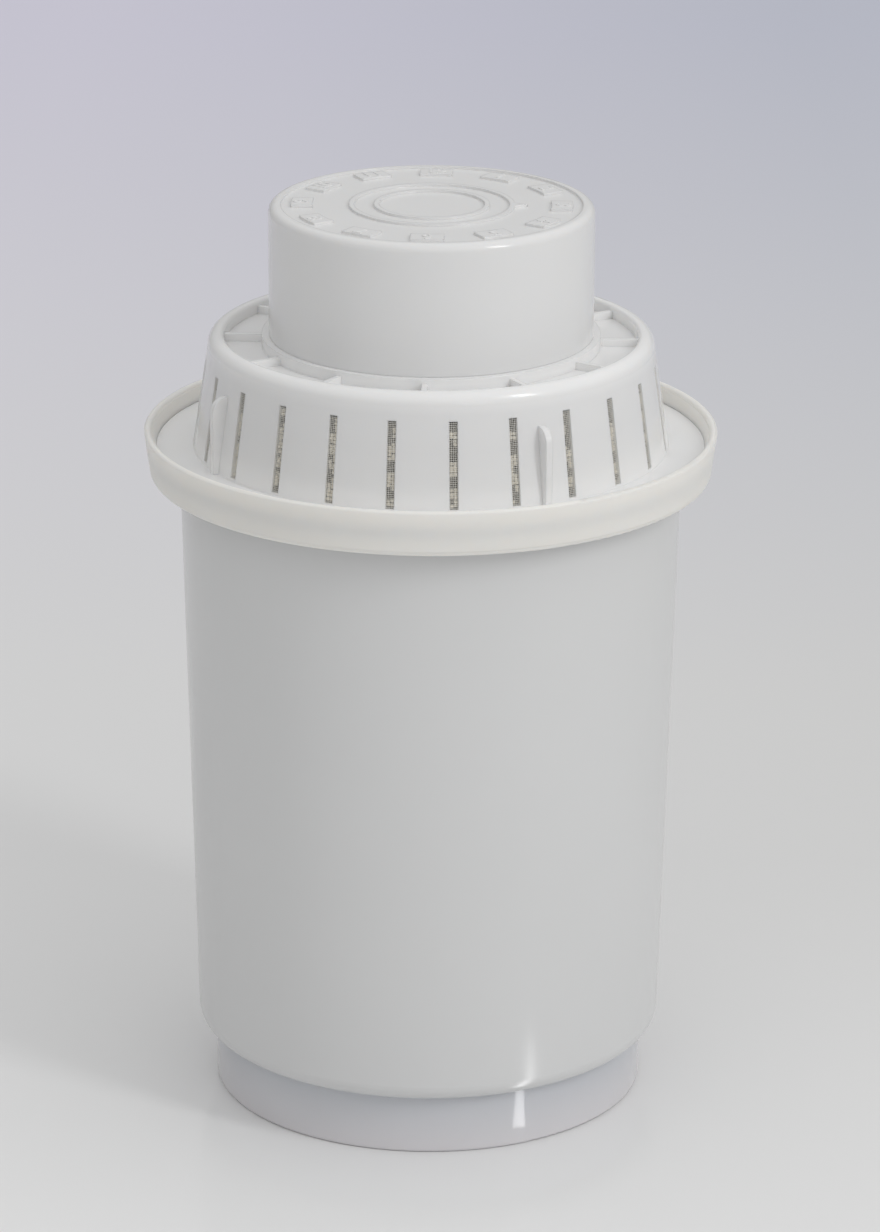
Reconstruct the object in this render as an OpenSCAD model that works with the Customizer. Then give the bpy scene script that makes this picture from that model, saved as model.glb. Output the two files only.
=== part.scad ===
// Water pitcher filter cartridge.
// A tapered cup of filter granules stands on a clear outlet ring. A slotted head
// with a grip cap closes the cup, and a soft ring on the head's flange seals the
// cartridge in its pitcher. Water enters by the slots and leaves by the floor.
// The real head and cap are one moulding, parted here at the top of the collar.
// Millimetres, +Z up. The origin is the centre of the outlet ring's lower edge.

/* [Outlet ring] */
// Outside diameter of the outlet ring
foot_d = 74.8; // [66:0.2:76]
// Height of the outlet ring, which is also the height of the cup's underside
foot_h = 10.4; // [8:0.2:16]
// Wall thickness of the outlet ring
foot_wall = 1.8; // [1.2:0.1:2.6]
// Rounding of the outlet ring's lower outer edge
foot_edge_r = 0.6; // [0.2:0.1:1.2]
// How far the cup's spigot reaches down into the outlet ring
spigot_h = 4; // [2:0.5:6]

/* [Cup] */
// How far the cup's wall stands out from the outlet ring, at the cup's underside
cup_step = 3; // [2.6:0.1:5]
// How much the cup's radius grows from its underside to its rim
cup_flare = 2.6; // [0.5:0.1:5]
// Height of the cup, from its underside to its rim
cup_h = 104.2; // [80:0.2:130]
// Wall thickness of the cup and of its spigot
cup_wall = 1.6; // [1.2:0.1:2.2]
// Thickness of the cup's floor
floor_t = 1.6; // [1.2:0.1:3]
// Rounding of the cup's lower outer edge
cup_edge_r = 3.2; // [2.6:0.1:4]
// How far the cup's rim flange stands out from its wall
rim_w = 2.6; // [1.5:0.1:4]
// Thickness of the cup's rim flange
rim_t = 1.5; // [1:0.1:3]

/* [Outlet slots] */
// Number of radial slots in the cup's floor
outlet_count = 24; // [12:1:28]
// Width of each outlet slot
outlet_w = 1.5; // [1:0.1:2]
// Length of each outlet slot
outlet_len = 18; // [8:0.5:19]
// Distance from the outlet slots' outer ends to the spigot
outlet_margin = 4; // [1:0.5:6]

/* [Head flange and plug] */
// How far the head's flange stands out past the cup's rim flange
flange_over = 1.8; // [1.2:0.1:3]
// Thickness of the head's flange
flange_t = 1.5; // [1:0.1:2.5]
// How far the head's plug reaches down into the cup
plug_h = 6; // [3:0.5:10]

/* [Slotted cone] */
// How far the cone's foot stands in from the cup's wall at the rim
cone_inset = 2.4; // [2:0.1:3.5]
// How much the cone's radius shrinks from the flange to the deck
cone_lean = 2.6; // [1:0.1:4]
// Height of the deck above the flange
cone_h = 17.4; // [16:0.2:26]
// Wall thickness of the cone
cone_wall = 1.5; // [1.2:0.1:2]
// Number of inlet slots
slot_count = 24; // [12:4:36]
// Width of each inlet slot
slot_w = 1.4; // [0.8:0.1:2]
// Height of the slots' lower ends above the flange
slot_lift = 0.5; // [0.2:0.1:3]
// Distance from the slots' upper ends to the deck's underside
slot_drop = 0.9; // [0.2:0.1:4]

/* [Fins] */
// Number of guide fins around the cone
fin_count = 4; // [2, 4, 6]
// How far the fins stand out from the cone at the flange
fin_reach = 0.9; // [0.4:0.1:3]
// Thickness of each fin
fin_t = 1.2; // [0.8:0.1:2]
// Distance from the fins' top to the deck
fin_drop = 4.2; // [2:0.1:8]
// Rounding of each fin's top outer corner
fin_corner_r = 2.6; // [0.4:0.1:4]

/* [Deck] */
// Thickness of the deck between the cone and the cap
deck_t = 1.5; // [1:0.1:1.8]
// Width of the bead around the deck's edge
bead_w = 2.8; // [2:0.1:4]
// Height of the bead above the deck
bead_h = 2.2; // [1.6:0.1:3.5]
// Rounding of the bead's outer edge
bead_outer_r = 2; // [0.8:0.1:2.2]
// Rounding of the bead's inner edge
bead_inner_r = 0.7; // [0.3:0.1:0.8]
// Number of radial webs across the deck's trough
web_count = 12; // [6:1:24]
// Thickness of each web
web_t = 1; // [0.8:0.1:2]
// Height of the webs above the deck
web_h = 1.3; // [0.6:0.1:1.5]

/* [Grip cap] */
// Diameter of the grip cap
cap_d = 55.2; // [48:0.2:60]
// Height of the grip cap above the deck
cap_h = 24.5; // [16:0.5:36]
// Wall thickness of the cap's side
cap_wall = 1.6; // [1.2:0.1:2.4]
// Thickness of the cap's top under its dial face
cap_top_t = 1.8; // [1.2:0.1:3]
// Rounding of the cap's top edge
cap_edge_r = 1.4; // [0.6:0.1:1.5]
// Height of the collar at the cap's foot
collar_h = 2; // [1:0.1:3]
// How far the collar stands out from the cap
collar_w = 1.2; // [0.6:0.1:2]

/* [Dial face] */
// Width of the raised rim around the dial face
face_rim_w = 2.1; // [1.8:0.1:4]
// Depth of the dial face below that rim
face_depth = 0.4; // [0.2:0.1:0.8]
// Height of the raised marks above the dial face
mark_h = 0.4; // [0.2:0.1:0.4]
// Outer diameter of the inner raised ring
inner_ring_d = 19.6; // [14:0.2:22]
// Outer diameter of the outer raised ring
outer_ring_d = 28; // [26:0.2:30]
// Width of the raised rings
ring_w = 0.9; // [0.6:0.1:1.5]
// Number of raised pads around the dial, one for each month
pad_count = 12; // [6:1:12]
// Distance from the pads to the rim around the dial face
pad_margin = 1.7; // [0.5:0.1:2.5]
// Size of each pad across the dial
pad_depth = 3.6; // [2:0.1:4]
// Size of each pad around the dial
pad_width = 5.6; // [3:0.1:7]
// Direction of the raised pointer
pointer_angle = -30; // [-180:5:180]
// Length of the pointer outside the outer ring
pointer_len = 2.6; // [1.5:0.1:3]

/* [Soft ring] */
// How far the soft ring's lip stands out past the flange
lip_over = 1.6; // [1.2:0.1:3]
// How far the soft ring's lower edge stands out past the flange
skirt_over = 0.5; // [0.4:0.1:1.5]
// How far the soft ring's lip stands above the flange
lip_h = 2.9; // [1.5:0.1:5]
// How far the soft ring hangs below the flange
skirt_h = 3.6; // [2.4:0.1:6]
// Thickness of the lip at its top
lip_t = 1.3; // [0.9:0.1:1.6]
// How far the soft ring covers the flange's upper face
grip_top_w = 0.6; // [0.4:0.1:1.2]
// Clearance between the soft ring and the cup's rim flange
skirt_gap = 0.6; // [0.3:0.1:0.8]
// Rounding of the soft ring's lower outer edge
skirt_edge_r = 0.8; // [0.3:0.1:1]

/* [Filling] */
// Thickness of the outlet mesh on the cup's floor
mesh_t = 0.4; // [0.3:0.1:1]
// Thickness of the felt pad on the outlet mesh
felt_t = 3; // [1:0.5:6]
// Thickness of the mesh sleeve behind the inlet slots
sleeve_t = 0.4; // [0.3:0.1:1]
// Free height above the granules, under the deck
bed_headroom = 0.4; // [0.2:0.1:10]

/* [Fits] */
// Radial clearance between a plug, spigot or ring and what it fits
fit_gap = 0.1; // [0.05:0.05:0.3]
// Clearance of the loose filling from the walls around it
fill_gap = 0.15; // [0.1:0.05:0.4]

/* [Hidden] */
$fn = 120;

// How far a cutter reaches past the face that it cuts
cut = 1;
// How far a rib sinks into the wall that it grows from
root = 0.3;

foot_r = foot_d / 2;
spigot_r = foot_r - foot_wall - fit_gap;

cup_z = foot_h;
floor_z = cup_z + floor_t;
rim_z = cup_z + cup_h;
rim_r = cup_r(rim_z) + rim_w;
cavity_edge_r = cup_edge_r - cup_wall;
outlet_r_out = spigot_r - cup_wall - outlet_margin;

flange_z = rim_z + flange_t;
flange_r = rim_r + flange_over;
plug_z = rim_z - plug_h;
plug_r = cup_r(plug_z) - cup_wall - fit_gap;

deck_z = flange_z + cone_h;
deck_under_z = deck_z - deck_t;
deck_r = cone_r(deck_z);
bead_in_r = deck_r - bead_w;

cap_r = cap_d / 2;
cap_in_r = cap_r - cap_wall;
collar_r = cap_r + collar_w;
collar_z = deck_z + collar_h;
top_z = deck_z + cap_h;
face_z = top_z - face_depth;
face_r = cap_r - face_rim_w;
pad_out_r = face_r - pad_margin;
pad_in_r = pad_out_r - pad_depth;

slot_z = flange_z + slot_lift;
slot_top_z = deck_under_z - slot_drop;
slot_pitch = 360 / slot_count;
fin_r = cone_r(flange_z) + fin_reach;
fin_z = deck_z - fin_drop;

skirt_z = rim_z - skirt_h;
skirt_in_r = rim_r + skirt_gap;
skirt_r = flange_r + skirt_over;
lip_z = flange_z + lip_h;
lip_r = flange_r + lip_over;

mesh_z = floor_z + mesh_t;
felt_z = mesh_z + felt_t;
bed_z = deck_under_z - bed_headroom;

// Outer radius of the cup's drafted wall at height z
function cup_r(z) = foot_r + cup_step + cup_flare * (z - cup_z) / cup_h;

// Outer radius of the cone at height z
function cone_r(z) = cup_r(rim_z) - cone_inset - cone_lean * (z - flange_z) / cone_h;

// Inner radius of the cone at height z
function cone_in_r(z) = cone_r(z) - cone_wall;

// Flat rectangle of a round section, between two radii and two heights
module band(r0, r1, z0, z1)
    translate([r0, z0]) square([r1 - r0, z1 - z0]);

// Cutter that rounds the upper right corner of a section, at the origin
module corner_cutter(r)
    translate([-r, -r]) difference() {
        square(r + cut);
        circle(r);
    }

module round_top_outer(r0, z0, r)
    translate([r0, z0]) corner_cutter(r);

module round_top_inner(r0, z0, r)
    translate([r0, z0]) mirror([1, 0]) corner_cutter(r);

module round_bottom_outer(r0, z0, r)
    translate([r0, z0]) mirror([0, 1]) corner_cutter(r);

// Copies of a child spread evenly around the axis
module around(count, start = 0)
    for (i = [0 : count - 1])
        rotate(start + i * 360 / count) children();

// Section of the cup's inside, shrunk by a gap
module cavity_section(gap = 0) {
    bottom = floor_z;
    corner = bottom + cavity_edge_r;
    difference() {
        polygon([
            [0, bottom],
            [cup_r(bottom) - cup_wall - gap, bottom],
            [cup_r(rim_z) - cup_wall - gap, rim_z],
            [0, rim_z]
        ]);
        round_bottom_outer(cup_r(corner) - cup_wall - gap, bottom, cavity_edge_r);
    }
}

// A slice of the cup's inside between two heights
module cavity_slice(z0, z1)
    rotate_extrude()
        intersection() {
            cavity_section(fill_gap);
            band(0, rim_r, z0, z1);
        }

module outlet_ring()
    color("#a9adb6")
        rotate_extrude()
            difference() {
                band(foot_r - foot_wall, foot_r, 0, foot_h);
                round_bottom_outer(foot_r, 0, foot_edge_r);
            }

module cup_section()
    difference() {
        union() {
            polygon([
                [0, cup_z],
                [cup_r(cup_z), cup_z],
                [cup_r(rim_z), rim_z],
                [0, rim_z]
            ]);
            band(0, rim_r, rim_z - rim_t, rim_z);
        }
        round_bottom_outer(cup_r(cup_z + cup_edge_r), cup_z, cup_edge_r);
        cavity_section();
        band(0, cup_r(rim_z) - cup_wall, rim_z - root, rim_z + cut);
    }

// One radial slot through the cup's floor
module outlet_slot()
    translate([outlet_r_out - outlet_len, -outlet_w / 2, cup_z - cut])
        cube([outlet_len, outlet_w, floor_t + 2 * cut]);

module cup()
    color("#c9cac9")
        difference() {
            rotate_extrude() {
                cup_section();
                band(spigot_r - cup_wall, spigot_r, cup_z - spigot_h, cup_z + root);
            }
            around(outlet_count) outlet_slot();
        }

module outlet_mesh()
    color("#e8e8e4") cavity_slice(floor_z, mesh_z);

module felt_pad()
    color("#f1efe8") cavity_slice(mesh_z, felt_z);

// Granules fill the cup up to the plug, then the plug's and the sleeve's bore
module granule_bed() {
    neck_z = plug_z - fill_gap;
    inset = fit_gap + sleeve_t + fill_gap;
    color("#5d5a52")
        rotate_extrude() {
            intersection() {
                cavity_section(fill_gap);
                band(0, rim_r, felt_z, neck_z);
            }
            polygon([
                [0, felt_z],
                [cone_in_r(flange_z) - inset, felt_z],
                [cone_in_r(flange_z) - inset, flange_z],
                [cone_in_r(bed_z) - inset, bed_z],
                [0, bed_z]
            ]);
        }
}

module inlet_sleeve() {
    outer_bottom = cone_in_r(flange_z) - fit_gap;
    outer_top = cone_in_r(deck_under_z) - fit_gap;
    color("#dcdcd6")
        rotate_extrude()
            polygon([
                [outer_bottom - sleeve_t, flange_z],
                [outer_bottom, flange_z],
                [outer_top, deck_under_z],
                [outer_top - sleeve_t, deck_under_z]
            ]);
}

// Everything of the head that is turned, before its hollow is taken out
module head_outside()
    difference() {
        union() {
            band(0, plug_r, plug_z, rim_z);
            band(0, flange_r, rim_z, flange_z);
            polygon([
                [0, flange_z],
                [cone_r(flange_z), flange_z],
                [deck_r, deck_z],
                [0, deck_z]
            ]);
            band(bead_in_r, deck_r, deck_under_z, deck_z + bead_h);
            band(0, collar_r, deck_z, collar_z);
        }
        round_top_outer(deck_r, deck_z + bead_h, bead_outer_r);
        round_top_inner(bead_in_r, deck_z + bead_h, bead_inner_r);
    }

// The hollow of the plug and the cone, and the way up into the cap
module head_inside()
    polygon([
        [0, plug_z - cut],
        [cone_in_r(flange_z), plug_z - cut],
        [cone_in_r(flange_z), flange_z],
        [cone_in_r(deck_under_z), deck_under_z],
        [cap_in_r, deck_under_z],
        [cap_in_r, collar_z + cut],
        [0, collar_z + cut]
    ]);

module inlet_slot() {
    start = cone_in_r(deck_z) - cut;
    end = cone_r(flange_z) + cut;
    translate([start, -slot_w / 2, slot_z])
        cube([end - start, slot_w, slot_top_z - slot_z]);
}

// One fin: a plate against the cone, with its top outer corner rounded
module fin()
    rotate([90, 0, 0])
        translate([0, 0, -fin_t / 2])
            linear_extrude(fin_t)
                difference() {
                    polygon([
                        [cone_r(flange_z) - root, flange_z - root],
                        [fin_r, flange_z - root],
                        [fin_r, fin_z],
                        [cone_r(fin_z) - root, fin_z]
                    ]);
                    round_top_outer(fin_r, fin_z, fin_corner_r);
                }

module web()
    translate([collar_r - root, -web_t / 2, deck_z - root])
        cube([bead_in_r - collar_r + 2 * root, web_t, web_h + root]);

// One month pad: a piece of a flat ring, standing on the dial face
module month_pad()
    translate([0, 0, face_z - root])
        linear_extrude(mark_h + root)
            intersection() {
                difference() {
                    circle(pad_out_r);
                    circle(pad_in_r);
                }
                translate([0, -pad_width / 2])
                    square([face_r, pad_width]);
            }

module raised_ring(outer_d)
    rotate_extrude()
        band(outer_d / 2 - ring_w, outer_d / 2, face_z - root, face_z + mark_h);

module pointer()
    rotate(pointer_angle)
        translate([outer_ring_d / 2 - ring_w / 2, 0, face_z - root])
            linear_extrude(mark_h + root)
                polygon([[0, -pointer_len / 2], [pointer_len, 0], [0, pointer_len / 2]]);

module dial_marks() {
    raised_ring(inner_ring_d);
    raised_ring(outer_ring_d);
    around(pad_count) month_pad();
    pointer();
}

module head()
    color("#d7d8d6")
        difference() {
            union() {
                rotate_extrude()
                    difference() {
                        head_outside();
                        head_inside();
                    }
                around(fin_count) fin();
                around(web_count) web();
            }
            around(slot_count, slot_pitch / 2) inlet_slot();
        }

// The cap stands on the collar and is open to the granules below
module grip_cap()
    color("#dcdddb") {
        rotate_extrude()
            difference() {
                band(0, cap_r, collar_z, top_z);
                band(0, cap_in_r, collar_z - cut, face_z - cap_top_t);
                band(0, face_r, face_z, top_z + cut);
                round_top_outer(cap_r, top_z, cap_edge_r);
            }
        dial_marks();
    }

module rim_seal() {
    groove_r = flange_r + fit_gap;
    color("#cfcbbf")
        rotate_extrude()
            difference() {
                polygon([
                    [skirt_in_r, skirt_z],
                    [skirt_r, skirt_z],
                    [lip_r, lip_z],
                    [lip_r - lip_t, lip_z],
                    [flange_r - grip_top_w, flange_z],
                    [skirt_in_r, rim_z]
                ]);
                band(0, groove_r, rim_z, flange_z);
                round_bottom_outer(skirt_r, skirt_z, skirt_edge_r);
                round_top_outer(lip_r, lip_z, lip_t / 2);
                round_top_inner(lip_r - lip_t, lip_z, lip_t / 2);
            }
}

outlet_ring();
cup();
outlet_mesh();
felt_pad();
granule_bed();
inlet_sleeve();
head();
grip_cap();
rim_seal();
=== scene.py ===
"""Looks of the water pitcher filter cartridge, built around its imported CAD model.

Metres, in the CAD model's own frame: +Z up, origin at the centre of the outlet ring's
lower edge. Every piece rides on the one body, "root".
"""

import math
import random

import bmesh
import bpy
import numpy as np
from mathutils import Matrix, Vector, noise


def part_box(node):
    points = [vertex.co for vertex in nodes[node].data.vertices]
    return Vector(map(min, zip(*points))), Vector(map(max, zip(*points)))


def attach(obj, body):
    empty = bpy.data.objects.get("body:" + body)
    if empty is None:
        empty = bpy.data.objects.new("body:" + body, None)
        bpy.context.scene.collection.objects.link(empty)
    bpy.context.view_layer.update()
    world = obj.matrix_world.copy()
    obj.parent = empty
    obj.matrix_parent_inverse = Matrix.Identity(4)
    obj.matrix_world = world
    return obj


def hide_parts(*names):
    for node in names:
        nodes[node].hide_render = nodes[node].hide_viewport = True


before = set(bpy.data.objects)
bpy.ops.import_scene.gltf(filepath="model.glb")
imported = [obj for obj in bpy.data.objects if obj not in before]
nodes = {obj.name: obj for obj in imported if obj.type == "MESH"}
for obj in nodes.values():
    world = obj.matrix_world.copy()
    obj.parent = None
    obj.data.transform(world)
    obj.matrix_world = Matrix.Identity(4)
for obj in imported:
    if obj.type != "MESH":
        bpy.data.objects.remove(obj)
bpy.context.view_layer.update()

MM = 0.001
BODY = "root"

# Camera, from a perspective fit to the photograph. Angles are in degrees.
PHOTO_HEIGHT_PX = 1232
FOCAL_PX = 5231.8
SENSOR = 36.0
CAMERA_AZIMUTH = -28.1
CAMERA_PITCH = 18.967
CAMERA_ROLL = 0.303
CAMERA_SIDE = 1.74 * MM
CAMERA_BACK = 856.04 * MM
CAMERA_HEIGHT = 378.68 * MM
CAMERA_CLIP_START = 0.05
CAMERA_CLIP_END = 20.0
CAMERA_TURN = Matrix.Rotation(math.radians(CAMERA_AZIMUTH), 4, "Z")

# Floor. It turns lavender from TINT_START to TINT_END behind the object, and is painted darker to
# the right, as painted shade, and lighter toward the front, as painted light.
FLOOR_SIZE = 8.0
FLOOR_TINT_START = 0.20
FLOOR_TINT_END = 0.85
FLOOR_PAINTED_SHADE_SIDE = 0.12
FLOOR_PAINTED_LIGHT_FRONT = 0.1
FLOOR_CLOUD_SIZE = 300 * MM
FLOOR_ROUGHNESS = (0.12, 0.14)

# World light from all round, and broad lobes on top of it: toward what side as the camera
# sees it (right, toward the camera, up), and how strong. A fit to the photograph.
WORLD_EVEN = 0.17
WORLD_LOBES = [
    ((0.45, 1, 0.25), 0.22),
    ((0, -1, 0.25), 0.116),
    ((0, 0, 1), 0.62),
    ((0.61, 0.49, 0.62), 0.10),
]

# Key light. Its azimuth is to the right of the camera.
KEY_AZIMUTH = 51.0
KEY_HEIGHT = 38.0
KEY_DISTANCE = 1.1
KEY_AIM_HEIGHT = 0.08
KEY_WIDTH = 0.16
KEY_LENGTH = 0.42
KEY_POWER = 2.05

# Sheen on the table that mirrors in the cartridge's foot as a short upright streak.
# Its ends are given as the camera sees them: to the right, toward the camera and up.
SHEEN_NEAR = (20.8 * MM, 38.0 * MM, 0.3 * MM)
SHEEN_FAR = (49.5 * MM, 60.8 * MM, 0.3 * MM)
SHEEN_WIDTH = 3 * MM
SHEEN_POWER = 0.0021

# Sockets of a Mix node for colours, whose names repeat
MIX_FACTOR = 0
MIX_FIRST = 6
MIX_SECOND = 7
MIX_RESULT = 2

# Values that noise runs through: smooth noise, and the middle of detailed noise
SMOOTH_NOISE = (0.1, 0.9)
NOISE_MIDDLE = (0.3, 0.7)

# Moulded plastic: clouds and specks in its tint, patches in its gloss, wave and texture
CLOUD_SIZE = 28 * MM
SPECK_SIZE = 0.9 * MM
SPECK_NOISE = (0.68, 0.78)
SPECK_AMOUNT = 0.06
SPECK_SHADE = 0.86
PATCH_SIZE = 9 * MM
PATCH_SPREAD = 0.04
WAVE_SIZE = 14 * MM
WAVE_DEPTH = 0.05 * MM
WAVE_STRENGTH = 0.6
TEXTURE_SIZE = 0.5 * MM
TEXTURE_DEPTH = 0.002 * MM
TEXTURE_STRENGTH = 0.3
EDGE_SAMPLES = 6
PLASTIC_IOR = 1.49

# How far light spreads inside the translucent plastics, in red, green and blue
GLOW_REACH = 2.5 * MM
GLOW_RGB = (1.0, 0.9, 0.8)

# Heights between which painted light turns a plastic whiter
FLANGE_PAINTED_LIGHT = (126 * MM, 116 * MM)
DECK_PAINTED_LIGHT = (132 * MM, 134.5 * MM)
RING_PAINTED_LIGHT = (9 * MM, 0.0)

# Net behind the inlet slots, and net on the cup's floor
NET_PITCH = 0.4 * MM
NET_STRAND = 0.08 * MM
NET_RING_SEGMENTS = 240
NET_BORDER = 0.8 * MM

# Inlet slots, as the CAD model has them
SLOT_COUNT = 24
SLOT_WIDTH = 1.4 * MM
SLOT_BOTTOM = 116.6 * MM
SLOT_TOP = 131.1 * MM
CONE_WALL = 1.5 * MM

# Felt disc
FELT_SEGMENTS = 180
FELT_RINGS = 26
FELT_EDGE = 0.8 * MM
FELT_DIMPLE = 0.25 * MM
FELT_DIMPLE_SIZE = 2.2 * MM

# The parts of the net that the granules press into the slots
BULGE_NET_DEPTH = 0.08 * MM
BULGE_NET_PITCH = 0.3 * MM
BULGE_NET_STRAND = 0.05 * MM

# Granules: a layer behind the cone, whose jitter is a share of its pitch, and the core
# behind that layer, which is drawn in from a little below the inlet net
GRAIN_SEED = 11
GRAIN_PITCH = 1.0 * MM
GRAIN_JITTER = 0.25
GRAIN_SINK = 0.3 * MM
GRAIN_SUBDIVISIONS = 2
CORE_DEPTH = 1.1 * MM
CORE_NECK = 1.0 * MM

# Granules in the slots, in two columns each
BULGE_PITCH = 0.62 * MM
BULGE_SIDE = 0.34 * MM
BULGE_SIDE_JITTER = 0.02 * MM
BULGE_LIFT_JITTER = 0.12 * MM

# Kinds of granules, which lie in clusters, and their least and greatest half sizes
CARBON_SHARE = 0.40
CLUSTER_SIZE = 2.6 * MM
CLUSTER_JITTER = 0.06
CARBON_HALF_SIZES_MM = ((0.45, 0.62), (0.36, 0.5), (0.36, 0.46))
CARBON_DENTS = (0.76, 1.08)
RESIN_RADIUS_MM = (0.32, 0.44)

# Dial numbers on the cap's pads. A figure is lower than the font's size by FONT_HEIGHT_SHARE.
DIAL_PADS = 12
DIAL_RADIUS = 22.0 * MM
DIAL_TWELVE_ANGLE = 60.0
NUMBER_HEIGHT = 2.7 * MM
NUMBER_RELIEF = 0.14 * MM
NUMBER_ROOT = 0.05 * MM
NUMBER_CURVE_STEPS = 4
FONT_HEIGHT_SHARE = 0.72

# Corners this near in height count as level, and corners this near to each other as one
LEVEL_REACH = 0.02 * MM
WELD_REACH = 0.001 * MM


# Small helpers for node materials

def start_material(name):
    """A new node material: its tree and its Principled shader."""
    material = bpy.data.materials.new(name)
    material.use_nodes = True
    return material, material.node_tree, material.node_tree.nodes["Principled BSDF"]


def add(tree, kind, values=None, **settings):
    """A shader node with its own settings and its unlinked inputs' values."""
    node = tree.nodes.new("ShaderNode" + kind)
    for key, value in settings.items():
        setattr(node, key, value)
    for key, value in (values or {}).items():
        node.inputs[key].default_value = value
    return node


def object_point(tree):
    """Coordinates in metres, fixed to the object."""
    return add(tree, "TexCoord").outputs["Object"]


def split_axes(tree, point):
    """The point's coordinates as outputs X, Y and Z."""
    split = add(tree, "SeparateXYZ")
    tree.links.new(point, split.inputs["Vector"])
    return split.outputs


def noise_factor(tree, point, size, detail=3.0, rough=0.5):
    """Noise from 0 to 1 whose lumps are about the given size in metres."""
    texture = add(tree, "TexNoise", {"Scale": 1.0 / size, "Detail": detail, "Roughness": rough})
    tree.links.new(point, texture.inputs["Vector"])
    return texture.outputs["Fac"]


def remap(tree, value, source, target=(0.0, 1.0)):
    """A value stretched from the source range to the target range, and clamped to it."""
    ends = {"From Min": source[0], "From Max": source[1], "To Min": target[0], "To Max": target[1]}
    node = add(tree, "MapRange", ends)
    tree.links.new(value, node.inputs["Value"])
    return node.outputs["Result"]


def mix_colour(tree, factor, first, second):
    """Two colours mixed by a factor's socket. Each colour may be a socket or a plain colour."""
    node = add(tree, "Mix", data_type="RGBA")
    tree.links.new(factor, node.inputs[MIX_FACTOR])
    for index, source in ((MIX_FIRST, first), (MIX_SECOND, second)):
        if isinstance(source, bpy.types.NodeSocket):
            tree.links.new(source, node.inputs[index])
        else:
            node.inputs[index].default_value = (*source, 1.0)
    return node.outputs[MIX_RESULT]


def bump(tree, height, distance, strength=1.0, normal=None):
    """A bumped normal, on top of another one if that is given."""
    node = add(tree, "Bump", {"Distance": distance, "Strength": strength})
    tree.links.new(height, node.inputs["Height"])
    if normal is not None:
        tree.links.new(normal, node.inputs["Normal"])
    return node.outputs["Normal"]


def rounded_edges(tree, radius):
    """A normal that rounds sharp edges, as a mould's small radii do."""
    return add(tree, "Bevel", {"Radius": radius}, samples=EDGE_SAMPLES).outputs["Normal"]


# Materials

def moulded_plastic(name, pale, deep, rough, edge_radius=0.0, glow=0.0):
    """Satin moulded plastic: two near tints in soft clouds, specks, a wave and fine texture."""
    material, tree, shader = start_material(name)
    point = object_point(tree)
    clouds = remap(tree, noise_factor(tree, point, CLOUD_SIZE, 1.0), SMOOTH_NOISE)
    tint = mix_colour(tree, clouds, pale, deep)
    specks = noise_factor(tree, point, SPECK_SIZE, 2.0)
    specks = remap(tree, specks, SPECK_NOISE, (0.0, SPECK_AMOUNT))
    tint = mix_colour(tree, specks, tint, [c * SPECK_SHADE for c in deep])
    tree.links.new(tint, shader.inputs["Base Color"])
    patches = noise_factor(tree, point, PATCH_SIZE, 1.0)
    gloss = remap(tree, patches, SMOOTH_NOISE, (rough - PATCH_SPREAD, rough + PATCH_SPREAD))
    tree.links.new(gloss, shader.inputs["Roughness"])
    normal = rounded_edges(tree, edge_radius) if edge_radius else None
    wave = noise_factor(tree, point, WAVE_SIZE, 1.0)
    normal = bump(tree, wave, WAVE_DEPTH, WAVE_STRENGTH, normal)
    texture = noise_factor(tree, point, TEXTURE_SIZE, 1.0)
    normal = bump(tree, texture, TEXTURE_DEPTH, TEXTURE_STRENGTH, normal)
    tree.links.new(normal, shader.inputs["Normal"])
    shader.inputs["IOR"].default_value = PLASTIC_IOR
    shader.inputs["Subsurface Weight"].default_value = glow
    shader.inputs["Subsurface Radius"].default_value = GLOW_RGB
    shader.inputs["Subsurface Scale"].default_value = GLOW_REACH
    return material


def whiten_toward(material, heights, colour):
    """Painted light: turns a moulded plastic's tint into another, paler colour, from one height to
    another.
    """
    tree = material.node_tree
    base = tree.nodes["Principled BSDF"].inputs["Base Color"]
    share = remap(tree, split_axes(tree, object_point(tree))["Z"], heights)
    tree.links.new(mix_colour(tree, share, base.links[0].from_socket, colour), base)


def white_plastic(name):
    """The white satin plastic of head and cap."""
    return moulded_plastic(
        name,
        pale=(0.832, 0.829, 0.826),
        deep=(0.817, 0.816, 0.813),
        rough=0.17,
        edge_radius=0.3 * MM,
        glow=0.2,
    )


def head_material():
    """White plastic with painted light: painted whiter toward the flange and toward the deck."""
    material = white_plastic("head_plastic")
    whiten_toward(material, FLANGE_PAINTED_LIGHT, (0.90, 0.898, 0.894))
    whiten_toward(material, DECK_PAINTED_LIGHT, (0.89, 0.888, 0.884))
    return material


def number_material():
    return moulded_plastic(
        "white_numbers",
        pale=(0.86, 0.858, 0.855),
        deep=(0.845, 0.845, 0.842),
        rough=0.17,
    )


def cup_material():
    return moulded_plastic(
        "grey_white_plastic",
        pale=(0.737, 0.74, 0.74),
        deep=(0.719, 0.723, 0.723),
        rough=0.2,
        edge_radius=0.3 * MM,
    )


def soft_ring_material():
    return moulded_plastic(
        "ivory_soft_plastic",
        pale=(0.885, 0.865, 0.825),
        deep=(0.86, 0.84, 0.795),
        rough=0.4,
        edge_radius=0.3 * MM,
        glow=0.6,
    )


def clear_ring_material():
    """Cloudy clear plastic, bluish, and painted paler toward its lower edge: painted light from the
    floor.
    """
    material = moulded_plastic(
        "cloudy_plastic",
        pale=(0.70, 0.715, 0.75),
        deep=(0.67, 0.685, 0.725),
        rough=0.12,
        edge_radius=0.2 * MM,
        glow=0.15,
    )
    whiten_toward(material, RING_PAINTED_LIGHT, (0.82, 0.80, 0.82))
    shader = material.node_tree.nodes["Principled BSDF"]
    shader.inputs["Transmission Weight"].default_value = 0.1
    return material


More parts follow.
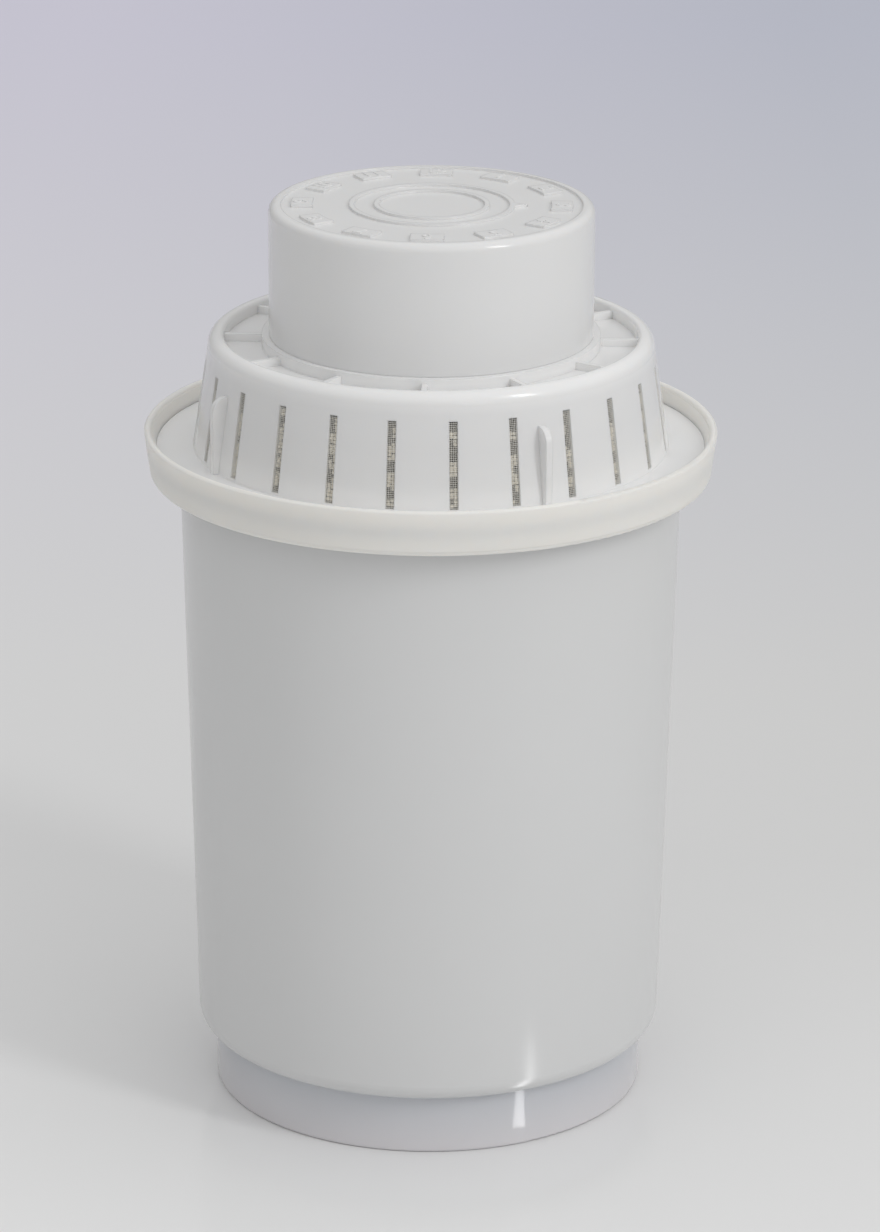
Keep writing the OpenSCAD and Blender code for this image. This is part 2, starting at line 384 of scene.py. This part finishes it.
def grain_material(name, dark, light, rough):
    """Grains that each have a shade of their own, with a pitted surface."""
    material, tree, shader = start_material(name)
    shade = add(tree, "NewGeometry").outputs["Random Per Island"]
    tint = mix_colour(tree, shade, dark, light)
    pits = noise_factor(tree, object_point(tree), 0.25 * MM)
    pit_shade = remap(tree, pits, (0.4, 0.7), (0.0, 0.5))
    tree.links.new(mix_colour(tree, pit_shade, tint, dark), shader.inputs["Base Color"])
    tree.links.new(bump(tree, pits, 0.05 * MM, 0.7), shader.inputs["Normal"])
    gloss = remap(tree, pits, NOISE_MIDDLE, (rough - 0.1, rough + 0.1))
    tree.links.new(gloss, shader.inputs["Roughness"])
    return material


def carbon_material():
    return grain_material("carbon", dark=(0.11, 0.10, 0.082), light=(0.26, 0.235, 0.195), rough=0.6)


def resin_material():
    return grain_material("resin", dark=(0.86, 0.80, 0.68), light=(0.95, 0.91, 0.81), rough=0.35)


def packed_grain_material():
    """The mass of granules behind the ones that are modelled: cells of carbon and resin."""
    material, tree, shader = start_material("packed_granules")
    cells = add(tree, "TexVoronoi", {"Scale": 1.0 / (0.9 * MM)})
    tree.links.new(object_point(tree), cells.inputs["Vector"])
    kind = add(tree, "SeparateColor")
    tree.links.new(cells.outputs["Color"], kind.inputs["Color"])
    resin = remap(tree, kind.outputs["Red"], (0.48, 0.52))
    tint = mix_colour(tree, resin, (0.06, 0.06, 0.057), (0.62, 0.57, 0.46))
    tree.links.new(tint, shader.inputs["Base Color"])
    height = remap(tree, cells.outputs["Distance"], (0.0, 0.6), (1.0, 0.0))
    tree.links.new(bump(tree, height, 0.4 * MM), shader.inputs["Normal"])
    gloss = remap(tree, kind.outputs["Green"], (0.0, 1.0), (0.55, 0.85))
    tree.links.new(gloss, shader.inputs["Roughness"])
    return material


def strand_material():
    """Fine clear-white thread."""
    material, tree, shader = start_material("net_thread")
    slubs = noise_factor(tree, object_point(tree), 1.5 * MM)
    tint = mix_colour(tree, slubs, (0.80, 0.785, 0.73), (0.90, 0.885, 0.84))
    tree.links.new(tint, shader.inputs["Base Color"])
    gloss = remap(tree, slubs, NOISE_MIDDLE, (0.35, 0.5))
    tree.links.new(gloss, shader.inputs["Roughness"])
    return material


def felt_material():
    """White needle felt: matted fibres with a faint sheen."""
    material, tree, shader = start_material("needle_felt")
    stretched = add(tree, "Mapping", {"Scale": (1.0, 4.0, 1.0), "Rotation": (0.0, 0.0, 0.6)})
    tree.links.new(object_point(tree), stretched.inputs["Vector"])
    fibres = noise_factor(tree, stretched.outputs["Vector"], 0.5 * MM, detail=6.0, rough=0.7)
    tint = mix_colour(tree, fibres, (0.70, 0.69, 0.64), (0.90, 0.89, 0.86))
    tree.links.new(tint, shader.inputs["Base Color"])
    tree.links.new(bump(tree, fibres, 0.25 * MM, 0.8), shader.inputs["Normal"])
    gloss = remap(tree, fibres, NOISE_MIDDLE, (0.85, 1.0))
    tree.links.new(gloss, shader.inputs["Roughness"])
    shader.inputs["Sheen Weight"].default_value = 0.2
    return material


def floor_material():
    """Pale, slightly glossy table top that turns lavender far behind the object. Painted shade
    darkens it toward the right, and painted light lightens it toward the front, most at the front
    left, across the object's shadow.
    """
    material, tree, shader = start_material("table_top")
    point = object_point(tree)
    axes = split_axes(tree, point)
    far = remap(tree, axes["Y"], (FLOOR_TINT_START, FLOOR_TINT_END))
    # Painted shade: darker toward the right, near and far.
    right = remap(tree, axes["X"], (-FLOOR_PAINTED_SHADE_SIDE, FLOOR_PAINTED_SHADE_SIDE))
    # Painted light: lighter toward the front, most at the front left.
    front = remap(tree, axes["Y"], (-FLOOR_PAINTED_LIGHT_FRONT, FLOOR_PAINTED_LIGHT_FRONT), (1.0, 0.0))
    far_tint_and_shade = mix_colour(tree, right, (0.825, 0.80, 0.955), (0.64, 0.665, 0.795))
    near_light_and_shade = mix_colour(tree, right, (0.828, 0.828, 0.83), (0.755, 0.755, 0.752))
    front_painted_light = mix_colour(tree, right, (0.925, 0.925, 0.926), (0.855, 0.855, 0.855))
    near_light_and_shade = mix_colour(tree, front, near_light_and_shade, front_painted_light)
    tree.links.new(mix_colour(tree, far, near_light_and_shade, far_tint_and_shade), shader.inputs["Base Color"])
    clouds = noise_factor(tree, point, FLOOR_CLOUD_SIZE, 1.0)
    tree.links.new(remap(tree, clouds, (0.2, 0.8), FLOOR_ROUGHNESS), shader.inputs["Roughness"])
    return material


# Meshes

def make_piece(name, vertices, faces, material, smooth=False):
    """A mesh object that rides on the body."""
    mesh = bpy.data.meshes.new(name)
    mesh.from_pydata(vertices, [], faces)
    mesh.validate()
    if smooth:
        mesh.shade_smooth()
    mesh.materials.append(material)
    piece = bpy.data.objects.new(name, mesh)
    bpy.context.scene.collection.objects.link(piece)
    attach(piece, BODY)
    return piece


def radius_at(node, z):
    """Largest radius of a CAD node's corners at a height."""
    level = [v.co for v in nodes[node].data.vertices if abs(v.co.z - z) < LEVEL_REACH]
    return max(math.hypot(co.x, co.y) for co in level)


def polar(radius, angle, z):
    return (radius * math.cos(angle), radius * math.sin(angle), z)


def outward(angle):
    return Vector((math.cos(angle), math.sin(angle), 0))


def sideways(angle):
    return Vector((-math.sin(angle), math.cos(angle), 0))


class Strands:
    """Collects strands of rectangular section into one mesh."""

    def __init__(self):
        self.vertices = []
        self.faces = []

    def straight(self, start, end, side, out):
        """One strand between two points. side and out are the half widths as vectors."""
        base = len(self.vertices)
        for point in (start, end):
            for s, o in ((-1, -1), (1, -1), (1, 1), (-1, 1)):
                self.vertices.append(tuple(point + s * side + o * out))
        for k in range(4):
            n = (k + 1) % 4
            self.faces.append((base + k, base + n, base + 4 + n, base + 4 + k))
        self.faces.append((base + 3, base + 2, base + 1, base))
        self.faces.append((base + 4, base + 5, base + 6, base + 7))

    def hoop(self, radius, z, half_r, half_z):
        """One closed ring around the axis."""
        base = len(self.vertices)
        corners = ((-half_r, -half_z), (half_r, -half_z), (half_r, half_z), (-half_r, half_z))
        for i in range(NET_RING_SEGMENTS):
            angle = 2 * math.pi * i / NET_RING_SEGMENTS
            for dr, dz in corners:
                self.vertices.append(polar(radius + dr, angle, z + dz))
        for i in range(NET_RING_SEGMENTS):
            a = base + 4 * i
            b = base + 4 * ((i + 1) % NET_RING_SEGMENTS)
            for k in range(4):
                n = (k + 1) % 4
                self.faces.append((a + k, b + k, b + n, a + n))


def slot_angles():
    return [2 * math.pi * (k + 0.5) / SLOT_COUNT for k in range(SLOT_COUNT)]


def cone_radius(z):
    """Outer radius of the slotted cone at a height."""
    low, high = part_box("inlet_sleeve")
    share = (z - low.z) / (high.z - low.z)
    bottom_r = radius_at("inlet_sleeve", low.z)
    top_r = radius_at("inlet_sleeve", high.z)
    return bottom_r + (top_r - bottom_r) * share + CONE_WALL


def add_uprights(strands, low, high):
    """The inlet net's upright strands. low and high are radius and height of its ends."""
    half = NET_STRAND / 2
    depth = 3 * half
    count = round(2 * math.pi * low[0] / NET_PITCH)
    for i in range(count):
        angle = 2 * math.pi * i / count
        start = Vector(polar(low[0] - depth, angle, low[1]))
        end = Vector(polar(high[0] - depth, angle, high[1]))
        strands.straight(start, end, sideways(angle) * half, outward(angle) * half)


def add_hoops(strands, low, high):
    """The inlet net's hoops and its two borders. low and high are as in add_uprights."""
    half = NET_STRAND / 2
    rows = int((high[1] - low[1]) / NET_PITCH)
    for row in range(1, rows):
        share = row / rows
        radius = low[0] + (high[0] - low[0]) * share - half
        strands.hoop(radius, low[1] + (high[1] - low[1]) * share, half, half)
    for radius, z in ((low[0], low[1] + NET_BORDER / 2), (high[0], high[1] - NET_BORDER / 2)):
        strands.hoop(radius - 2 * half, z, 2 * half, NET_BORDER / 2)


def add_net_bulges(strands):
    """The parts of the net that the granules press into the inlet slots."""
    half = BULGE_NET_STRAND / 2
    low = SLOT_BOTTOM + half
    high = SLOT_TOP - half
    low_r = cone_radius(low) - BULGE_NET_DEPTH
    high_r = cone_radius(high) - BULGE_NET_DEPTH
    rows = int((high - low) / BULGE_NET_PITCH)
    across = int(SLOT_WIDTH / BULGE_NET_PITCH)
    for angle in slot_angles():
        out = outward(angle)
        side = sideways(angle)
        for i in range(across + 1):
            offset = side * (i - across / 2) * BULGE_NET_PITCH
            start = out * (low_r - half) + offset + Vector((0, 0, low))
            end = out * (high_r - half) + offset + Vector((0, 0, high))
            strands.straight(start, end, side * half, out * half)
        reach = side * (SLOT_WIDTH / 2 - half)
        for row in range(rows + 1):
            radius = low_r + (high_r - low_r) * row / rows + half
            middle = out * radius + Vector((0, 0, low + (high - low) * row / rows))
            strands.straight(middle - reach, middle + reach, Vector((0, 0, half)), out * half)


def make_inlet_net(material):
    """The net sleeve behind the inlet slots: hoops outside, upright strands inside."""
    low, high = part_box("inlet_sleeve")
    bottom_r = radius_at("inlet_sleeve", low.z)
    top_r = radius_at("inlet_sleeve", high.z)
    strands = Strands()
    add_uprights(strands, (bottom_r, low.z), (top_r, high.z))
    add_hoops(strands, (bottom_r, low.z), (top_r, high.z))
    add_net_bulges(strands)
    net = make_piece("inlet_net", strands.vertices, strands.faces, material)
    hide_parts("inlet_sleeve")


def make_outlet_net(material):
    """The net on the cup's floor: two layers of straight strands with a border."""
    low_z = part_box("outlet_mesh")[0].z
    radius = radius_at("outlet_mesh", low_z)
    half = NET_STRAND / 2
    up = Vector((0, 0, half))
    lower = low_z + half
    upper = low_z + 3 * half
    strands = Strands()
    count = int((radius - NET_BORDER) / NET_PITCH)
    for i in range(-count, count + 1):
        offset = i * NET_PITCH
        reach = math.sqrt(radius ** 2 - offset ** 2) - half
        along_y = (Vector((offset, -reach, lower)), Vector((offset, reach, lower)))
        along_x = (Vector((-reach, offset, upper)), Vector((reach, offset, upper)))
        strands.straight(*along_y, Vector((half, 0, 0)), up)
        strands.straight(*along_x, Vector((0, half, 0)), up)
    strands.hoop(radius - NET_BORDER / 2, low_z + 2 * half, NET_BORDER / 2, 2 * half)
    net = make_piece("outlet_net", strands.vertices, strands.faces, material)
    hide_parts("outlet_mesh")


def felt_profile(low, high, low_r, high_r):
    """The felt disc's outline from its middle below, round its edge, to its middle above."""
    inner = [k / FELT_RINGS for k in range(1, FELT_RINGS)]
    below = [((low_r - FELT_EDGE) * share, low.z) for share in inner]
    above = [((high_r - FELT_EDGE) * share, high.z) for share in inner]
    edge = [
        (low_r - FELT_EDGE, low.z),
        (low_r - FELT_EDGE / 4, low.z + FELT_EDGE / 4),
        (low_r, low.z + FELT_EDGE),
        (high_r, high.z - FELT_EDGE),
        (high_r - FELT_EDGE / 4, high.z - FELT_EDGE / 4),
        (high_r - FELT_EDGE, high.z),
    ]
    return below + edge + above[::-1]


def felt_corner(radius, angle, z, middle_z):
    """A corner of the felt disc, drawn in by the needled dimple that it lies in."""
    point = Vector(polar(radius, angle, z))
    dimple = (0.5 + 0.5 * noise.noise(point / FELT_DIMPLE_SIZE)) * FELT_DIMPLE
    point.x *= 1 - dimple / radius
    point.y *= 1 - dimple / radius
    point.z += dimple if z < middle_z else -dimple
    return tuple(point)


def make_felt(material):
    """The felt pad: a firm disc with soft edges and shallow dimples, inside its CAD solid."""
    low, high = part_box("felt_pad")
    middle_z = (low.z + high.z) / 2
    profile = felt_profile(low, high, radius_at("felt_pad", low.z), radius_at("felt_pad", high.z))
    angles = [2 * math.pi * i / FELT_SEGMENTS for i in range(FELT_SEGMENTS)]
    vertices = [felt_corner(radius, angle, z, middle_z) for radius, z in profile for angle in angles]
    faces = []
    for ring in range(len(profile) - 1):
        for i in range(FELT_SEGMENTS):
            a = ring * FELT_SEGMENTS + i
            b = ring * FELT_SEGMENTS + (i + 1) % FELT_SEGMENTS
            faces.append((a, b, b + FELT_SEGMENTS, a + FELT_SEGMENTS))
    last = (len(profile) - 1) * FELT_SEGMENTS
    faces.append(tuple(range(FELT_SEGMENTS))[::-1])
    faces.append(tuple(last + i for i in range(FELT_SEGMENTS)))
    felt = make_piece("felt_disc", vertices, faces, material, smooth=True)
    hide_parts("felt_pad")


def make_granule_core(material):
    """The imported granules: the CAD solid, drawn in behind the modelled grains."""
    source = nodes["granule_bed"].data
    neck_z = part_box("inlet_sleeve")[0].z - CORE_NECK
    vertices = []
    for v in source.vertices:
        radius = math.hypot(v.co.x, v.co.y)
        is_wall = v.co.z > neck_z and radius > 2 * CORE_DEPTH
        share = (radius - CORE_DEPTH) / radius if is_wall else 1.0
        vertices.append((v.co.x * share, v.co.y * share, v.co.z))
    faces = [tuple(p.vertices) for p in source.polygons]
    core = make_piece("granule_core", vertices, faces, material)
    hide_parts("granule_bed")


def unit_grain():
    """Corners and faces of a small round grain of radius 1."""
    ball = bmesh.new()
    bmesh.ops.create_icosphere(ball, subdivisions=GRAIN_SUBDIVISIONS, radius=1.0)
    corners = np.array([v.co for v in ball.verts])
    faces = [tuple(v.index for v in f.verts) for f in ball.faces]
    ball.free()
    return corners, faces


def carbon_grain(corners, draw):
    """A broken, angular grain: uneven axes and dented corners."""
    axes = np.array([draw.uniform(*sizes) for sizes in CARBON_HALF_SIZES_MM]) * MM
    dents = np.array([draw.uniform(*CARBON_DENTS) for _ in corners])
    return corners * dents[:, None] * axes


def resin_grain(corners, draw):
    """A round bead."""
    return corners * draw.uniform(*RESIN_RADIUS_MM) * MM


class Grains:
    """Collects carbon grains and resin beads, which lie in clusters of their kind."""

    def __init__(self):
        self.draw = random.Random(GRAIN_SEED)
        self.corners, self.faces = unit_grain()
        self.carbon = []
        self.resin = []

    def spread(self, reach):
        """A random number that is at most the given reach away from 0."""
        return self.draw.uniform(-reach, reach)

    def random_turn(self):
        axis = Vector((self.draw.gauss(0, 1), self.draw.gauss(0, 1), self.draw.gauss(0, 1)))
        return np.array(Matrix.Rotation(self.draw.uniform(0, 2 * math.pi), 3, axis))

    def drop(self, place, angle, half_width=None):
        """One grain whose outermost point lies at the place, or a little behind it."""
        cluster = noise.noise(place / CLUSTER_SIZE) + self.spread(CLUSTER_JITTER)
        is_carbon = cluster < CARBON_SHARE - 0.5
        shape = carbon_grain if is_carbon else resin_grain
        grain = shape(self.corners, self.draw) @ self.random_turn().T
        out = np.array(polar(1.0, angle, 0.0))
        side = np.array((-out[1], out[0], 0.0))
        if half_width is not None:
            grain = grain * min(1.0, half_width / np.abs(grain @ side).max())
        reach = (grain @ out).max() + self.draw.uniform(0.0, GRAIN_SINK)
        (self.carbon if is_carbon else self.resin).append(grain + np.array(place) - out * reach)

    def make(self, name, found, material, smooth):
        """One mesh of all the grains of a kind."""
        vertices = [tuple(v) for v in np.concatenate(found)]
        starts = range(0, len(vertices), len(self.corners))
        faces = [tuple(k + start for k in face) for start in starts for face in self.faces]
        make_piece(name, vertices, faces, material, smooth)


def drop_cone_layer(grains):
    """The layer of granules behind the slotted cone."""
    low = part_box("inlet_sleeve")[0]
    top_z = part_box("granule_bed")[1].z
    rows = int((top_z - low.z) / GRAIN_PITCH)
    for row in range(rows):
        z = low.z + (row + 0.5) * GRAIN_PITCH
        radius = cone_radius(z) - CONE_WALL - 4 * NET_STRAND
        count = round(2 * math.pi * radius / GRAIN_PITCH)
        for i in range(count):
            angle = 2 * math.pi * (i + 0.5 * (row % 2) + grains.spread(GRAIN_JITTER)) / count
            lift = grains.spread(GRAIN_JITTER) * GRAIN_PITCH
            grains.drop(Vector(polar(radius, angle, z + lift)), angle)


def drop_slot_columns(grains):
    """Two columns of granules inside every inlet slot."""
    rows = int((SLOT_TOP - SLOT_BOTTOM) / BULGE_PITCH) - 1
    for angle in slot_angles():
        for row in range(rows):
            z = SLOT_BOTTOM + (row + 1) * BULGE_PITCH
            radius = cone_radius(z) - BULGE_NET_DEPTH - BULGE_NET_STRAND
            for across in (-1, 1):
                inset = grains.draw.uniform(-BULGE_SIDE_JITTER, 0.0)
                offset = sideways(angle) * across * (BULGE_SIDE + inset)
                lift = grains.spread(BULGE_LIFT_JITTER)
                place = Vector(polar(radius, angle, z + lift)) + offset
                grains.drop(place, angle, SLOT_WIDTH / 2 - BULGE_SIDE)


def make_grains():
    """The outermost granules, the ones that can be seen through the slots."""
    grains = Grains()
    drop_cone_layer(grains)
    drop_slot_columns(grains)
    grains.make("carbon_grains", grains.carbon, carbon_material(), smooth=False)
    grains.make("resin_beads", grains.resin, resin_material(), smooth=True)


def number_mesh(n, top_z):
    """The mesh of one dial number in its place on the cap."""
    curve = bpy.data.curves.new(f"number_{n}", "FONT")
    curve.body = str(n)
    curve.size = NUMBER_HEIGHT / FONT_HEIGHT_SHARE
    curve.align_x = "CENTER"
    curve.align_y = "CENTER"
    curve.extrude = (NUMBER_RELIEF + NUMBER_ROOT) / 2
    curve.resolution_u = NUMBER_CURVE_STEPS
    text = bpy.data.objects.new(f"number_{n}", curve)
    bpy.context.scene.collection.objects.link(text)
    angle = math.radians(DIAL_TWELVE_ANGLE - 360 / DIAL_PADS * n)
    middle = polar(DIAL_RADIUS, angle, top_z + (NUMBER_RELIEF - NUMBER_ROOT) / 2)
    text.matrix_world = Matrix.Translation(middle) @ Matrix.Rotation(angle - math.pi / 2, 4, "Z")
    bpy.context.view_layer.update()
    solid = text.evaluated_get(bpy.context.evaluated_depsgraph_get())
    mesh = bpy.data.meshes.new_from_object(solid)
    mesh.transform(text.matrix_world)
    bpy.data.objects.remove(text)
    return mesh


def make_dial_numbers(material):
    """Plain raised numbers, 1 to 12, on the pads around the cap's top."""
    top_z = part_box("grip_cap")[1].z
    parts = bmesh.new()
    for n in range(1, DIAL_PADS + 1):
        mesh = number_mesh(n, top_z)
        parts.from_mesh(mesh)
        bpy.data.meshes.remove(mesh)
    bmesh.ops.remove_doubles(parts, verts=parts.verts, dist=WELD_REACH)
    vertices = [tuple(v.co) for v in parts.verts]
    parts.verts.index_update()
    faces = [tuple(v.index for v in f.verts) for f in parts.faces]
    parts.free()
    make_piece("dial_numbers", vertices, faces, material)


# Stage, light and camera

def from_camera_side(right, toward, up):
    """A point given as the camera sees it: to the right, toward the camera and up."""
    return CAMERA_TURN @ Vector((right, -toward, up))


def make_floor():
    half = FLOOR_SIZE / 2
    corners = [(-half, -half, 0), (half, -half, 0), (half, half, 0), (-half, half, 0)]
    mesh = bpy.data.meshes.new("floor")
    mesh.from_pydata(corners, [], [(0, 1, 2, 3)])
    mesh.materials.append(floor_material())
    floor = bpy.data.objects.new("floor", mesh)
    floor.matrix_world = CAMERA_TURN
    bpy.context.scene.collection.objects.link(floor)


def lobe_strength(tree, direction, toward, strength):
    """A broad lobe of light, strongest toward one side and gone a quarter turn away from it."""
    lobe = add(tree, "VectorMath", operation="DOT_PRODUCT")
    tree.links.new(direction, lobe.inputs[0])
    lobe.inputs[1].default_value = from_camera_side(*toward).normalized()
    return remap(tree, lobe.outputs["Value"], (0.0, 1.0), (0.0, strength))


def make_world():
    """Soft light from all round that is strongest from above, as a sum of broad lobes."""
    world = bpy.data.worlds.new("studio")
    bpy.context.scene.world = world
    world.use_nodes = True
    tree = world.node_tree
    background = tree.nodes["Background"]
    background.inputs["Color"].default_value = (1.0, 1.0, 1.0, 1.0)
    direction = add(tree, "TexCoord").outputs["Generated"]
    total = None
    for toward, strength in WORLD_LOBES:
        added = add(tree, "Math", {0: WORLD_EVEN}, operation="ADD")
        if total is not None:
            tree.links.new(total, added.inputs[0])
        tree.links.new(lobe_strength(tree, direction, toward, strength), added.inputs[1])
        total = added.outputs[0]
    tree.links.new(total, background.inputs["Strength"])


def add_area_light(name, placing, width, height, power):
    """A rectangular soft light that shines along its own -Z."""
    light = bpy.data.lights.new(name, "AREA")
    light.shape = "RECTANGLE"
    light.size = width
    light.size_y = height
    light.energy = power
    lamp = bpy.data.objects.new(name, light)
    lamp.matrix_world = placing
    bpy.context.scene.collection.objects.link(lamp)
    return lamp


def make_key_light():
    """A tall, narrow light on the camera's right."""
    azimuth = math.radians(KEY_AZIMUTH)
    height = math.radians(KEY_HEIGHT)
    reach = KEY_DISTANCE * math.cos(height)
    up = KEY_DISTANCE * math.sin(height)
    place = from_camera_side(reach * math.sin(azimuth), reach * math.cos(azimuth), up)
    aim = Vector((0, 0, KEY_AIM_HEIGHT))
    facing = (place - aim).to_track_quat("Z", "Y").to_matrix().to_4x4()
    add_area_light("key", Matrix.Translation(place) @ facing, KEY_WIDTH, KEY_LENGTH, KEY_POWER)


def make_table_sheen():
    """The sheen on the table, which only shows where it is mirrored."""
    near = from_camera_side(*SHEEN_NEAR)
    far = from_camera_side(*SHEEN_FAR)
    along = Matrix.Rotation(math.atan2(far.y - near.y, far.x - near.x), 4, "Z")
    face_up = Matrix.Rotation(math.pi, 4, "X")
    placing = Matrix.Translation((near + far) / 2) @ along @ face_up
    length = (far - near).length
    sheen = add_area_light("table_sheen", placing, length, SHEEN_WIDTH, SHEEN_POWER)
    sheen.visible_camera = False
    sheen.visible_diffuse = False


def make_camera():
    camera = bpy.data.objects.new("camera", bpy.data.cameras.new("camera"))
    camera.data.sensor_fit = "AUTO"
    camera.data.sensor_width = SENSOR
    camera.data.lens = FOCAL_PX * SENSOR / PHOTO_HEIGHT_PX
    camera.data.clip_start = CAMERA_CLIP_START
    camera.data.clip_end = CAMERA_CLIP_END
    camera.matrix_world = (
        Matrix.Translation(from_camera_side(CAMERA_SIDE, CAMERA_BACK, CAMERA_HEIGHT))
        @ CAMERA_TURN
        @ Matrix.Rotation(math.radians(90 - CAMERA_PITCH), 4, "X")
        @ Matrix.Rotation(math.radians(CAMERA_ROLL), 4, "Z")
    )
    bpy.context.scene.collection.objects.link(camera)
    bpy.context.scene.camera = camera


def paint(node, material):
    """Gives a CAD node its material."""
    nodes[node].data.materials.clear()
    nodes[node].data.materials.append(material)


def main():
    make_camera()
    paint("head", head_material())
    paint("grip_cap", white_plastic("cap_plastic"))
    paint("cup", cup_material())
    paint("rim_seal", soft_ring_material())
    paint("outlet_ring", clear_ring_material())
    make_dial_numbers(number_material())
    thread = strand_material()
    make_inlet_net(thread)
    make_outlet_net(thread)
    make_felt(felt_material())
    make_granule_core(packed_grain_material())
    make_grains()
    make_floor()
    make_world()
    make_key_light()
    make_table_sheen()
    bpy.context.scene.view_settings.view_transform = "Standard"


main()
